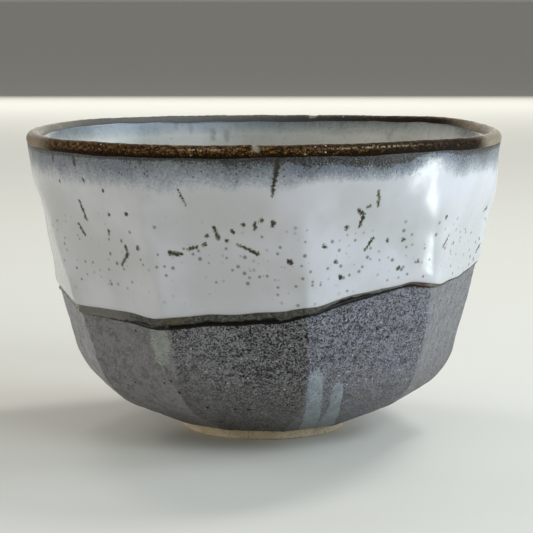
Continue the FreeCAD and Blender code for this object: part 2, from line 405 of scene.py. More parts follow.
# ---- materials
class Signal:
    """A node's output, which can be added to, subtracted from and multiplied by another or a number."""

    def __init__(self, recipe, socket):
        self.recipe = recipe
        self.socket = socket

    def __add__(self, other):
        return self.recipe.math("ADD", self, other)

    def __sub__(self, other):
        return self.recipe.math("SUBTRACT", self, other)

    def __mul__(self, other):
        return self.recipe.math("MULTIPLY", self, other)


class Recipe:
    """A material's nodes, added by short calls. Places are in millimetres."""

    def __init__(self, name):
        self.material = bpy.data.materials.new(name)
        self.material.use_nodes = True
        self.tree = self.material.node_tree
        self.shader = self.tree.nodes["Principled BSDF"]
        self.colour = None
        place = self.node("ShaderNodeTexCoord", {}, "Object")
        self.place = self.node("ShaderNodeVectorMath", {0: place, "Scale": 1 / MM}, operation="SCALE")

    def node(self, kind, inputs, output=0, **settings):
        """Adds a node, feeds its inputs by name or number, and returns one of its outputs."""
        node = self.tree.nodes.new(kind)
        for key, value in settings.items():
            setattr(node, key, value)
        for key, value in inputs.items():
            self.feed(node.inputs[key], value)
        return Signal(self, node.outputs[output])

    def feed(self, socket, value):
        if isinstance(value, Signal):
            self.tree.links.new(value.socket, socket)
        elif socket.type == "RGBA":
            socket.default_value = (*value, 1)
        else:
            socket.default_value = value

    def math(self, operation, first, second=0.0, clamp=False):
        return self.node("ShaderNodeMath", {0: first, 1: second}, operation=operation, use_clamp=clamp)

    def noise(self, scale, detail=2.0, roughness=0.5, stretch=None, shift=0.0):
        place = self.place
        if stretch or shift:
            moved = {"Vector": place, "Location": (shift, shift, shift), "Scale": stretch or (1, 1, 1)}
            place = self.node("ShaderNodeMapping", moved)
        inputs = {"Vector": place, "Scale": scale, "Detail": detail, "Roughness": roughness}
        return self.node("ShaderNodeTexNoise", inputs, "Fac")

    def sway(self, reach, *noise, **placing):
        """A noise's departure from its middle, either way."""
        return (self.noise(*noise, **placing) - 0.5) * reach

    def cells(self, scale):
        """Distance to the nearest of scattered points, and a random number for each point."""
        distance = self.node("ShaderNodeTexVoronoi", {"Vector": self.place, "Scale": scale}, "Distance")
        colour = Signal(self, distance.socket.node.outputs["Color"])
        return distance, self.node("ShaderNodeSeparateColor", {0: colour})

    def value(self, name):
        return self.node("ShaderNodeAttribute", {}, "Fac", attribute_name=name)

    def span(self, value, low, high, to_low=0.0, to_high=1.0):
        """An easy curve from to_low to to_high, while the value goes from low to high."""
        inputs = dict(enumerate((value, low, high, to_low, to_high)))
        return self.node("ShaderNodeMapRange", inputs, interpolation_type="SMOOTHSTEP")

    def ramp(self, value, *stops):
        result = self.node("ShaderNodeValToRGB", {0: value})
        elements = result.socket.node.color_ramp.elements
        while len(elements) < len(stops):
            elements.new(0.5)
        for element, (position, colour) in zip(elements, stops):
            element.position = position
            element.color = (*colour, 1)
        return result

    def mix(self, share, first, second):
        return self.node("ShaderNodeMix", {0: share, 6: first, 7: second}, 2, data_type="RGBA")

    def lay(self, tint, share):
        """Lays a tint over the colour so far, fully where the share is 1."""
        self.colour = self.mix(share, self.colour, tint)

    def bump(self, height, depth, under=None):
        """Fine relief: height 0 to 1 stands for a depth in millimetres."""
        inputs = {"Strength": 1.0, "Distance": depth * MM, "Height": height}
        if under is not None:
            inputs["Normal"] = under
        return self.node("ShaderNodeBump", inputs)

    def finish(self, roughness, normal=None, specular=0.5):
        self.feed(self.shader.inputs["Base Color"], self.colour)
        self.feed(self.shader.inputs["Roughness"], roughness)
        self.shader.inputs["Specular IOR Level"].default_value = specular
        if normal is not None:
            self.feed(self.shader.inputs["Normal"], normal)
        return self.material


# ---- colours
WHITE = (0.615, 0.62, 0.668)
WHITE_SHADE = (0.525, 0.53, 0.545)
INNER_WHITE = (0.52, 0.515, 0.47)
INNER_SHADE = (0.43, 0.425, 0.385)
IRON_BLACK = (0.010, 0.006, 0.003)
IRON_DARK = (0.028, 0.014, 0.005)
IRON_BROWN = (0.12, 0.060, 0.018)
IRON_AMBER = (0.33, 0.20, 0.070)
IRON_GOLD = (0.64, 0.46, 0.21)
# Tints that the recipes lay over one another
SMOKE_BLUE = (0.150, 0.172, 0.250)
FROST_AND_SPARKLE_BLUE = (0.34, 0.40, 0.47)
IRON_FLECK = (0.030, 0.032, 0.034)
THIN_WHITE = (0.42, 0.44, 0.43)
EDGE_GREY = (0.11, 0.11, 0.10)
SPECK_BROWN = (0.070, 0.063, 0.040)
HALO_YELLOW = (0.33, 0.315, 0.21)
STROKE_OLIVE = (0.068, 0.059, 0.028)
STROKE_BLACK = (0.010, 0.009, 0.006)
INNER_BLUE_AND_REFLECTION = (0.25, 0.305, 0.36)
SMUDGE_GREY = (0.17, 0.18, 0.16)
SMUDGE_DARK = (0.13, 0.135, 0.12)
POOL_GREEN = (0.40, 0.46, 0.40)
INNER_SPECK = (0.10, 0.09, 0.065)
WORN_TAN_AND_SHEEN = (0.36, 0.31, 0.235)
FAR_GREY = (0.165, 0.168, 0.155)
# Colour of the painted glint line on the rim
RIM_GLINT_GOLD = (0.70, 0.57, 0.38)
BARE_SPOT_AND_GLINT = (0.62, 0.56, 0.45)
OLIVE_DARK = (0.040, 0.040, 0.034)
OLIVE_LIGHT = (0.105, 0.105, 0.088)
HEM_PALE = (0.155, 0.148, 0.135)
HEM_BROWN = (0.11, 0.075, 0.032)
HEM_RUST = (0.085, 0.042, 0.020)
BEAD_BLACK = (0.004, 0.003, 0.002)
SLIP_DARK = (0.120, 0.106, 0.108)
SLIP_PALE = (0.350, 0.350, 0.372)
SLIP_PALE_COOL = (0.350, 0.356, 0.435)
GRAIN_PALE_AND_GLINT = (0.42, 0.43, 0.44)
GRAIN_COOL_AND_GLINT = (0.42, 0.445, 0.53)
SLIP_CLOUD = (0.225, 0.230, 0.215)
SLIP_BLOTCH = (0.072, 0.060, 0.058)
GRAIN_BLACK = (0.008, 0.007, 0.007)
SLIP_GLINT_WHITE = (0.66, 0.67, 0.70)
PIT_BLACK = (0.004, 0.004, 0.004)
WORN_DARK = (0.04, 0.037, 0.038)
WORN_PALE = (0.50, 0.51, 0.52)
CLAY_SHADOW = (0.14, 0.10, 0.065)
CLAY_FLECK = (0.06, 0.04, 0.025)
# Colours of the zone under the lip, from its iron to the white: (share, colour)
OUTER_ZONE = ((0.0, IRON_BLACK), (0.07, (0.022, 0.023, 0.024)), (0.15, (0.078, 0.086, 0.094)),
              (0.24, (0.135, 0.155, 0.168)), (0.36, (0.180, 0.203, 0.228)), (0.50, (0.255, 0.280, 0.320)),
              (0.68, (0.38, 0.400, 0.440)), (0.85, (0.51, 0.525, 0.565)))
# A dark fringe under the band, then the long fading of its iron into the white
FRINGE_START = 3.4
FRINGE_REACH = 2.4
FRINGE_DEPTH = 4.0
FRINGE_LEVEL = 0.03
FRINGE_RISE = 0.045
# How the iron of the lip fades into the white outside: from a depth below the lip, over a reach
ZONE_START = 2.1
ZONE_REACH = 9.3
# Swells in that zone: (azimuth, half width, how much deeper it starts, how much further it reaches)
# The swell at azimuth 42 brings the white up under the band: a painted highlight where the glaze's highlight
# falls.
ZONE_SWELLS = ((-27, 9, -1.4, 3.2), (-9, 5, 1.1, -1.6), (42, 4.5, -3.9, 0.0), (58, 12, 0.9, -2.7),
               (150, 30, 0.5, 1.7))
# On the flat right of the middle the white stands higher. It comes and goes over these azimuths
HIGH_WHITE_LEFT = (5, 9)
HIGH_WHITE_RIGHT = (34, 40)
HIGH_WHITE_START = 2.1
HIGH_WHITE_REACH = -3.9
INNER_ZONE = ((0.0, (0.055, 0.052, 0.042)), (0.16, (0.125, 0.132, 0.124)), (0.36, (0.225, 0.240, 0.232)),
              (0.64, (0.36, 0.37, 0.345)))


def zone_around(azimuth):
    """The depth at which the fading starts round the bowl, and its reach."""
    azimuth = turn(azimuth)
    high_white = smooth(*HIGH_WHITE_LEFT, azimuth) * (1 - smooth(*HIGH_WHITE_RIGHT, azimuth))
    start = ZONE_START + HIGH_WHITE_START * high_white
    reach = ZONE_REACH + HIGH_WHITE_REACH * high_white
    for middle, width, deeper, further in ZONE_SWELLS:
        nearness = swell(azimuth, middle, width)
        start = start + deeper * nearness
        reach = reach + further * nearness
    return start, reach


def glaze_colour(recipe, pale, shade, zone_colours, gritty):
    """White glaze that turns grainy grey and then dark near the iron of the lip.

    Returns how free of iron it is, from 0 to 1.
    """
    cloud = recipe.noise(0.05, 3, 0.55)
    body = recipe.mix(recipe.span(cloud, 0.35, 0.65), shade, pale)
    wander = recipe.sway(0.36, 0.13, 2)
    curtain = recipe.sway(0.25, 0.55, 2, 0.6, stretch=(1, 1, 0.4))
    grit = recipe.sway(gritty, 1.7, 3, 0.8)
    even = recipe.math("ADD", recipe.value("free_of_iron") + wander, curtain, clamp=True)
    share = recipe.math("ADD", even, grit, clamp=True)
    zone = recipe.ramp(share, *zone_colours, (1.0, pale))
    recipe.colour = recipe.mix(recipe.span(even, 0.70, 1.0), zone, body)
    return even


# Fine iron specks in the white: (cells in a millimetre, radius in cells, rarity, strength)
SPECKS = ((0.36, 0.165, 0.06, 0.72), (0.50, 0.185, 0.14, 0.66), (0.95, 0.190, 0.66, 0.45))


def outer_glaze_material():
    recipe = Recipe("speckled white glaze")
    share = glaze_colour(recipe, WHITE, WHITE_SHADE, OUTER_ZONE, 0.85)
    # the zone under the lip: smoky clouds, pale frosting that is partly a painted sparkle of highlights, and
    # dark iron flecks
    hue = recipe.span(recipe.noise(0.06, 2, shift=17.0), 0.46, 0.58)
    hue = hue * recipe.span(share, 0.70, 0.25) * recipe.span(share, 0.06, 0.24)
    recipe.lay(SMOKE_BLUE, hue * 0.55)
    frost_and_sparkle = recipe.span(recipe.noise(2.7, 2, 0.7, shift=31.0), 0.55, 0.63)
    frost_and_sparkle = frost_and_sparkle * recipe.span(share, 0.55, 0.12) * recipe.span(share, 0.02, 0.12, 0.2, 1.0)
    recipe.lay(FROST_AND_SPARKLE_BLUE, frost_and_sparkle * 0.40)
    distance, chance = recipe.cells(1.5)
    crowd = recipe.span(share, 0.80, 0.05) * 0.5
    fleck = recipe.span(chance + crowd, 0.98, 1.06) * recipe.span(distance, 0.44, 0.20)
    recipe.lay(IRON_FLECK, fleck * 0.8)
    # the white is thinner on the ridges and near its edge
    recipe.lay(THIN_WHITE, recipe.value("ridge") * 0.22)
    near_edge = recipe.span(recipe.value("above_edge") + recipe.noise(1.2, 3) * 0.5, 0.30, 0.75, 1, 0)
    recipe.lay(EDGE_GREY, near_edge * 0.8)
    # scattered fine iron specks, thickest in a belt above the edge
    thickness = recipe.value("specks")
    for scale, radius, rarity, strength in SPECKS:
        distance, chance = recipe.cells(scale)
        present = recipe.span(chance * thickness, rarity, rarity + 0.25, 0, strength)
        speck = present * recipe.span(distance, 1.5 * radius, 0.5 * radius)
        recipe.lay(SPECK_BROWN, speck)
    # drips, strokes and large specks, each with a faint yellow halo
    rough_edge = recipe.sway(2.2, 1.5, 3, 0.7)
    across, beyond = recipe.value("mark_across"), recipe.value("mark_beyond")
    squares = across * across + beyond * beyond
    ink = recipe.math("SQRT", squares) - recipe.value("mark_width") + rough_edge
    halo = recipe.span(ink, 0.70, 0.05, 0.0, 0.40) * recipe.span(share, 0.60, 0.95)
    recipe.lay(HALO_YELLOW, halo)
    recipe.lay(STROKE_OLIVE, recipe.span(ink, 0.34, -0.02, 0.0, 0.80))
    recipe.lay(STROKE_BLACK, recipe.span(ink, 0.04, -0.26))
    normal = recipe.bump(recipe.noise(0.40, 2, 0.4), 0.018)
    crust = recipe.noise(1.7, 3, 0.6) * recipe.span(share, 0.80, 0.25)
    normal = recipe.bump(crust, 0.42, normal)
    return recipe.finish(recipe.span(recipe.noise(0.8, 2), 0.3, 0.7, 0.17, 0.25), normal)


def inner_glaze_material():
    recipe = Recipe("pale inner glaze")
    share = glaze_colour(recipe, INNER_WHITE, INNER_SHADE, INNER_ZONE, 0.55)
    # blue on the far left inside near the iron: partly the glaze's blue-grey, partly a painted reflection of
    # light
    blue_and_reflection = recipe.value("blue_and_reflection") * recipe.span(share, 1.0, 0.1)
    recipe.lay(INNER_BLUE_AND_REFLECTION, blue_and_reflection * 0.85)
    smudge = recipe.span(recipe.noise(0.11, 3, 0.6, shift=7.0), 0.60, 0.72)
    recipe.lay(SMUDGE_GREY, smudge * recipe.span(recipe.value("below_lip"), 22, 4) * 0.5)
    blur = recipe.value("ink") + recipe.noise(0.9, 2) * 0.8
    recipe.lay(SMUDGE_DARK, recipe.span(blur, 1.2, 0.1, 0.0, 0.6))
    recipe.lay(POOL_GREEN, recipe.value("pooled") * 0.5)
    distance, chance = recipe.cells(0.35)
    recipe.lay(INNER_SPECK, recipe.span(chance * 0.10 - distance, -0.02, 0.02) * 0.7)
    normal = recipe.bump(recipe.noise(0.5, 2, 0.5), 0.05)
    return recipe.finish(recipe.span(recipe.noise(0.8, 2), 0.3, 0.7, 0.26, 0.36), normal)


def rim_material():
    recipe = Recipe("iron brown rim glaze")
    grain = recipe.noise(2.8, 4, 0.8)
    patch = recipe.noise(0.85, 3, 0.6, stretch=(1, 1, 1.6), shift=11.0)
    # dark: the band's foot and its inside, and painted shade on the front right
    dark = recipe.value("dark")
    level = grain * 0.62 + patch * 0.38 - dark * 0.11
    recipe.colour = recipe.ramp(level, (0.43, IRON_BLACK), (0.48, IRON_DARK), (0.54, IRON_BROWN),
                                (0.62, IRON_AMBER), (0.71, IRON_GOLD))
    # tan where the iron is thin on the sides and at chips; along the crest it is partly a painted reflection
    recipe.lay(WORN_TAN_AND_SHEEN, recipe.value("thin") * recipe.span(grain, 0.40, 0.56, 0.45, 1.0))
    recipe.lay(FAR_GREY, recipe.value("faded"))
    # painted highlight: a broken gold line of glints along the outside of the lip
    broken = recipe.span(recipe.noise(1.3, 3, 0.7, shift=15.0), 0.47, 0.58)
    recipe.lay(RIM_GLINT_GOLD, recipe.value("painted_rim_glint") * broken)
    # pale pinholes where the iron broke, which also stand in as painted glints on the rim
    distance, chance = recipe.cells(0.85)
    bare = recipe.span(distance, 0.22, 0.10) * recipe.span(chance, 0.90, 0.93)
    recipe.lay(BARE_SPOT_AND_GLINT, bare * recipe.span(dark, 0.8, 0.3))
    normal = recipe.bump(recipe.noise(1.8, 3, 0.65, shift=3.0), 0.20)
    return recipe.finish(recipe.span(grain, 0.50, 0.62, 0.50, 0.16), normal, specular=0.03)


def hem_material():
    recipe = Recipe("olive ash glaze")
    mottle = recipe.noise(1.5, 3, 0.65)
    recipe.colour = recipe.mix(recipe.span(mottle, 0.38, 0.62), OLIVE_DARK, OLIVE_LIGHT)
    recipe.lay(HEM_PALE, recipe.value("pale"))
    brown_patch = recipe.span(recipe.noise(0.13, 2, shift=5.0), 0.52, 0.68)
    recipe.lay(HEM_BROWN, brown_patch * 0.5)
    recipe.lay(HEM_RUST, recipe.value("warm"))
    line = recipe.value("across") + (mottle - 0.5) * 0.35 + recipe.sway(0.7, 0.28, 2, shift=9.0)
    recipe.lay(BEAD_BLACK, recipe.span(line - recipe.value("bead_line"), -0.10, 0.06))
    normal = recipe.bump(recipe.noise(1.4, 3, 0.6), 0.08)
    return recipe.finish(recipe.span(mottle, 0.3, 0.7, 0.14, 0.30), normal, specular=0.16)


def slip_material():
    recipe = Recipe("dark granular slip")
    coarse = recipe.value("coarse")
    cool = recipe.value("cool")
    pale = recipe.mix(cool, SLIP_PALE, SLIP_PALE_COOL)
    pale_grain_and_glint = recipe.mix(cool, GRAIN_PALE_AND_GLINT, GRAIN_COOL_AND_GLINT)
    recipe.colour = recipe.mix(recipe.value("tone"), SLIP_DARK, pale)
    cloud = recipe.noise(0.16, 4, 0.65)
    recipe.lay(SLIP_CLOUD, recipe.span(cloud, 0.38, 0.62, 0.0, 0.45))
    blotch = recipe.noise(0.45, 4, 0.75, shift=5.0)
    recipe.lay(SLIP_BLOTCH, recipe.span(blotch, 0.53, 0.38, 0.0, 0.50))
    # sand: grains of two sizes, each with its own brightness, thicker in drifts; the bright grains are
    # partly pale sand, partly painted glints
    drift = recipe.sway(0.9, 0.33, 3, 0.6, stretch=(1, 1, 2.2), shift=2.0)
    for scale, dark, light in ((2.8, 0.32, 0.80), (4.0, 0.30, 0.78)):
        sand = recipe.cells(scale)[1]
        black = recipe.span(sand + drift, dark, dark - 0.10)
        recipe.lay(GRAIN_BLACK, black * recipe.span(coarse, 0.0, 1.0, 0.10, 0.92))
        bright = recipe.span(sand, light, light + 0.12)
        recipe.lay(pale_grain_and_glint, bright * recipe.span(coarse, 0.0, 1.0, 0.05, 0.72))
    # painted highlights: small white glints scattered over the sandy slip
    distance, chance = recipe.cells(0.60)
    painted_slip_glint = recipe.span(distance, 0.17, 0.08) * recipe.span(chance, 0.62, 0.66)
    recipe.lay(SLIP_GLINT_WHITE, painted_slip_glint * recipe.span(coarse, 0.2, 0.5, 0.15, 0.9))
    distance, chance = recipe.cells(0.30)
    pit_size = recipe.span(chance, 0.6, 1.0) * 0.14
    recipe.lay(GRAIN_BLACK, recipe.span(pit_size - distance, -0.015, 0.02))
    recipe.lay(PIT_BLACK, recipe.span(recipe.value("pit"), 0.14, -0.05))
    relief = recipe.noise(1.6, 4, 0.8) * recipe.span(coarse, 0.0, 1.0, 0.2, 1.0)
    normal = recipe.bump(relief, 0.7)
    normal = recipe.bump(sand * coarse, 0.10, normal)
    return recipe.finish(recipe.span(sand, 0.4, 0.9, 0.62, 0.34), normal, specular=0.25)


def smooth_patch_material(name, deep, pale):
    """The smooth run and the wiped marks in the slip."""
    recipe = Recipe(name)
    cloud = recipe.noise(0.45, 3, 0.6)
    recipe.colour = recipe.mix(recipe.span(cloud, 0.3, 0.7), deep, pale)
    grain = recipe.noise(2.6, 3, 0.7)
    worn = grain - recipe.span(recipe.value("margin"), 0.95, 0.25, 0.0, 0.10)
    recipe.lay(WORN_DARK, recipe.span(worn, 0.46, 0.38, 0.0, 0.8))
    pale_grain = recipe.noise(3.1, 2, 0.7, shift=21.0)
    recipe.lay(WORN_PALE, recipe.span(pale_grain, 0.60, 0.68, 0.0, 0.6))
    normal = recipe.bump(grain, 0.10)
    return recipe.finish(recipe.span(grain, 0.3, 0.7, 0.34, 0.48), normal)


def bare_clay_material(name, deep, pale):
    recipe = Recipe(name)
    cloud = recipe.noise(0.12, 3, 0.6)
    recipe.colour = recipe.mix(recipe.span(cloud, 0.35, 0.68), deep, pale)
    grain = recipe.noise(2.2, 4, 0.7)
    recipe.lay(CLAY_SHADOW, recipe.span(grain, 0.50, 0.36, 0.0, 0.5))
    distance, chance = recipe.cells(0.45)
    fleck_size = recipe.span(chance, 0.55, 1.0) * 0.16
    fleck = recipe.span(fleck_size - distance, -0.02, 0.03)
    recipe.lay(CLAY_FLECK, fleck * 0.7)
    normal = recipe.bump(grain, 0.16)
    return recipe.finish(recipe.span(grain, 0.3, 0.7, 0.72, 0.86), normal)


# ---- the pieces
BAND_LOW = 73.4
BAND_INSIDE = 0.1


def band_edges(azimuth):
    """Lengths up the skin where the iron band starts outside and ends inside the lip."""
    a = np.radians(azimuth)
    wave = 0.16 * np.sin(4 * a + 1) + 0.10 * np.sin(11 * a) + 0.06 * np.sin(23 * a + 2)
    low = length_at_height(BAND_LOW) + wave + 0.35 * swell(azimuth, 50, 22)
    high = LIP_TOP + LIP_RADIUS * math.pi / 2 + BAND_INSIDE + 0.8 * wave
    return low, high


def below_lip(length):
    return np.abs(length - LIP_TOP)


def ridge_nearness(azimuth, length):
    """1 on a ridge, fading away beside it and towards the lip."""
    height = height_at(length)
    nearest = 180.0
    for number in range(len(RIDGE_AZIMUTHS)):
        nearest = np.minimum(nearest, np.abs(turn(azimuth, ridge_azimuth(number, height))))
    return np.exp(-(nearest / 1.5) ** 2) * (1 - smooth(52, 66, height))


# How sandy, pale and blue the slip is on each flat, from the left side round the front to the back,
# and how much paler it gets up the flat
FLAT_COARSE = (0.06, 0.16, 0.92, 0.70, 0.14, 0.25, 0.60, 0.85, 0.50, 0.20)
# The first flat, at the left side, is the palest: partly a paler slip, partly a painted reflection of the
# bright floor along that side.
FLAT_TONE = (1.0, 0.43, 0.07, 0.28, 0.22, 0.24, 0.16, 0.12, 0.26, 0.60)
FLAT_COOL = (0.35, 0.3, 0.05, 0.9, 0.4, 0.3, 0.3, 0.5, 0.3, 0.3)
FLAT_RISE = (0.10, 0.02, 0.34, 0.40, 0.26, 0.30, 0.30, 0.30, 0.30, 0.10)

# Iron marks in the white glaze: (azimuth, height) of both ends and half width at each
DRIPS = (
    ((3.4, 75.0), (2.7, 70.6), 0.98, 0.50), ((2.7, 70.6), (1.9, 64.8), 0.50, 0.10),
    ((5.2, 75.0), (4.0, 72.0), 0.40, 0.15),
    ((-57.5, 75.0), (-57.9, 71.2), 0.62, 0.30), ((-48.4, 75.0), (-48.8, 70.6), 0.55, 0.25),
    ((-64.0, 75.0), (-64.2, 72.0), 0.50, 0.20), ((-44.6, 75.0), (-44.8, 73.0), 0.60, 0.30),
    ((-19.5, 66.0), (-18.2, 62.6), 0.06, 0.06),
    ((-50.5, 61.6), (-50.0, 57.2), 0.18, 0.32), ((-53.6, 55.6), (-51.8, 53.4), 0.22, 0.22),
    ((-36.4, 51.9), (-35.9, 49.8), 0.16, 0.34), ((-35.9, 49.8), (-38.8, 47.0), 0.34, 0.18),
    ((-23.1, 50.9), (-20.6, 50.7), 0.50, 0.24), ((-18.7, 52.0), (-16.6, 52.6), 0.20, 0.20),
    ((-12.0, 57.3), (-11.2, 54.9), 0.20, 0.38), ((-2.0, 58.7), (-2.1, 57.0), 0.20, 0.20),
    ((-6.4, 53.3), (-1.6, 51.2), 0.14, 0.34), ((2.2, 58.8), (2.2, 57.8), 0.36, 0.22),
    ((22.8, 61.0), (24.2, 59.8), 0.30, 0.40), ((24.3, 59.6), (23.8, 57.2), 0.42, 0.24),
    ((27.2, 65.2), (27.8, 62.0), 0.22, 0.26), ((28.2, 54.0), (26.2, 51.4), 0.20, 0.14),
    ((54.2, 52.9), (51.2, 50.4), 0.10, 0.12),
    ((98, 74.5), (98.6, 69.0), 0.6, 0.14), ((133, 74.5), (132.6, 71.2), 0.5, 0.14),
    ((171, 74.5), (172, 66.5), 0.8, 0.14), ((214, 74.5), (213.6, 70.4), 0.5, 0.12),
    ((247, 74.5), (246.6, 68.6), 0.6, 0.14),
)
# Large specks: (azimuth, height, half width)
DOTS = (
    (-56.6, 66.2, 0.22), (-46.6, 67.0, 0.32), (-40.2, 64.9, 0.22), (-33.8, 59.8, 0.32),
    (-40.2, 59.1, 0.26), (-42, 55, 0.26), (-31.9, 51.7, 0.36), (-14.6, 53.2, 0.34), (-13.9, 55.2, 0.26),
    (-7.6, 56.4, 0.34), (-4.8, 58.1, 0.30), (-9.0, 54.2, 0.30), (-0.4, 59.2, 0.32), (6.2, 49.5, 0.50),
    (14.6, 53, 0.32), (18, 49.1, 0.28), (19.8, 45.3, 0.42), (20.3, 57, 0.36), (32.4, 53.4, 0.26),
    (37.2, 53.2, 0.28), (42.4, 47.7, 0.28), (36.8, 46.4, 0.30), (49.6, 57.8, 0.34), (25.5, 61.8, 0.30),
)
# Smudges low on the inside of the lip, and places where the iron is worn off the lip's top
SMUDGES = (
    ((201.8, 73.4), (201.6, 71.6), 0.5, 0.3), ((195.0, 71.6), (195.2, 69.6), 0.6, 0.4),
    ((191.2, 71.4), (191.0, 69.4), 0.6, 0.4), ((157.0, 74.4), (157.2, 73.0), 0.4, 0.2),
    ((206.0, 74.0), (206.2, 72.8), 0.4, 0.2), ((22.0, 66.0), (22.5, 62.0), 0.5, 0.4),
    ((-40.0, 64.0), (-40.4, 60.0), 0.6, 0.3), ((96.0, 66.0), (96.2, 62.0), 0.5, 0.3),
)
RIM_CHIPS = (((166.6, 75.7), (165.4, 75.7), 0.55, 0.45), ((-2.0, 75.2), (-1.2, 75.0), 0.35, 0.30),
             ((250.0, 75.4), (251.0, 75.4), 0.4, 0.3))
# Pinholes in the slip: (azimuth, height, half width)
SLIP_PITS = tuple(((a, h), (a + 0.1, h - 0.1), size, size) for a, h, size in (
    (33.6, 31.4, 0.34), (14.8, 25.8, 0.24), (16.5, 25.3, 0.26), (-38.6, 30.6, 0.30), (24.6, 14.8, 0.26),
    (-6.0, 21.0, 0.26), (7.5, 13.5, 0.24), (-15.5, 9.0, 0.26), (-44.0, 17.0, 0.24), (-28.0, 19.0, 0.26),
    (28.0, 24.6, 0.24), (41.0, 30.0, 0.22), (101.0, 29.0, 0.32), (126.0, 19.0, 0.28), (152.0, 32.0, 0.34),
    (171.0, 15.0, 0.28), (188.0, 27.0, 0.34), (209.0, 12.0, 0.26), (238.0, 30.0, 0.32), (252.0, 18.0, 0.26)))


def iron_marks():
    """Every stroke: the drips, the large specks, and random strokes round the sides and back."""
    rng = np.random.default_rng(5)
    strokes = list(DRIPS)
    for azimuth, height, size in DOTS:
        strokes.append(((azimuth, height), (azimuth + rng.uniform(-0.3, 0.3), height - size * 0.6),
                        size, size * 0.8))
    for _ in range(46):
        azimuth, height = rng.uniform(76, 290), rng.normal(54, 5)
        lean, drop, size = rng.uniform(-1.5, 1.5), rng.uniform(0.3, 2.4), rng.uniform(0.18, 0.42)
        strokes.append(((azimuth, height), (azimuth + lean, height - drop), size, size * 0.6))
    return strokes


# Mean share of the round radius that is left on a flat
FLAT_DEPTH = 0.97
# How far from a stroke, in millimetres, the search for the nearest one starts
FAR_FROM_MARKS = 9.0


def nearest_mark(azimuth, length, strokes):
    """Millimetres across the nearest stroke's line and beyond its ends, and the stroke's half width."""
    azimuth, length = np.broadcast_arrays(azimuth, length)
    height = height_at(length)
    radius = np.interp(length, SKIN_LENGTH, SKIN_PLACE[:, 0]) * FLAT_DEPTH
    nearest = np.full(azimuth.shape, FAR_FROM_MARKS)
    across, beyond, width = nearest.copy(), np.zeros(azimuth.shape), np.zeros(azimuth.shape)
    for (a0, h0), (a1, h1), wide, narrow in strokes:
        x = np.radians(turn(azimuth, a0)) * radius
        y = height - h0
        dx = math.radians(a1 - a0) * radius
        dy = h1 - h0
        size = np.hypot(dx, dy)
        along_line = (x * dx + y * dy) / size
        over = np.maximum(np.maximum(-along_line, along_line - size), 0)
        side = (x * dy - y * dx) / size
        half = wide + np.clip(along_line / size, 0, 1) * (narrow - wide)
        gap = np.hypot(side, over) - half
        closer = gap < nearest
        nearest = np.where(closer, gap, nearest)
        across = np.where(closer, side, across)
        beyond = np.where(closer, over, beyond)
        width = np.where(closer, half, width)
    return across, beyond, width


def mark_distance(azimuth, length, strokes):
    """Distance in millimetres to the outline of the nearest stroke, below 0 inside it."""
    across, beyond, width = nearest_mark(azimuth, length, strokes)
    return np.hypot(across, beyond) - width


def outer_glaze():
    columns, rows = 960, 94
    azimuth = round_azimuths(columns, 0.3)
    white_edge = edge_lines(azimuth)[0]
    top = band_edges(azimuth)[0] + BAND_OVERLAP
    length = lengths_between(white_edge, top, rows)
    above_edge = length - white_edge
    thick = GLAZE_COAT + 0.16 * bump_at(2.2, 1.8, above_edge)
    thick = thick + 0.025 * field(rows, columns, 0.41, 0.34, 9.0, 21)
    thick = thick + 0.003 * field(rows, columns, 0.41, 0.34, 2.6, 22)
    across, beyond, width = nearest_mark(azimuth, length, iron_marks())
    ink = np.hypot(across, beyond) - width
    # away from the strokes the width sinks, so that nothing shows where one stroke's side meets the next
    width = width - 4 * np.maximum(ink - 0.45, 0)
    thick = thick - 0.05 * (1 - smooth(-0.2, 0.5, ink))
    thick = thick - 0.22 * smooth(0.7, 0.0, top - length)
    thickness = 0.30 + (thick - 0.30) * rolled_edge(above_edge, 1.3)
    belt = bump_at(48.5, 8.5, height_at(length))
    around = 0.65 + 0.35 * np.cos(np.radians(azimuth * 2 - 10)) ** 2
    start, reach = zone_around(azimuth)
    depth = below_lip(length)
    # At azimuth 42 the fringe starts higher, part of the same painted highlight.
    fringe = FRINGE_START - 0.35 * swell(azimuth, -14, 18) - 0.8 * swell(azimuth, 42, 7)
    fading = np.maximum((depth - start) / reach, FRINGE_LEVEL + FRINGE_RISE * (depth - FRINGE_DEPTH))
    values = {"free_of_iron": np.minimum(fading, (depth - fringe) / FRINGE_REACH),
              "above_edge": above_edge, "mark_across": across, "mark_beyond": beyond,
              "mark_width": width, "ridge": ridge_nearness(azimuth, length), "specks": belt * around}
    rings, values = coat(azimuth, white_edge, top, thickness, values)
    ring_piece("glaze_outside", rings, values, outer_glaze_material(), "speckled_white_glaze", "outer_glaze")


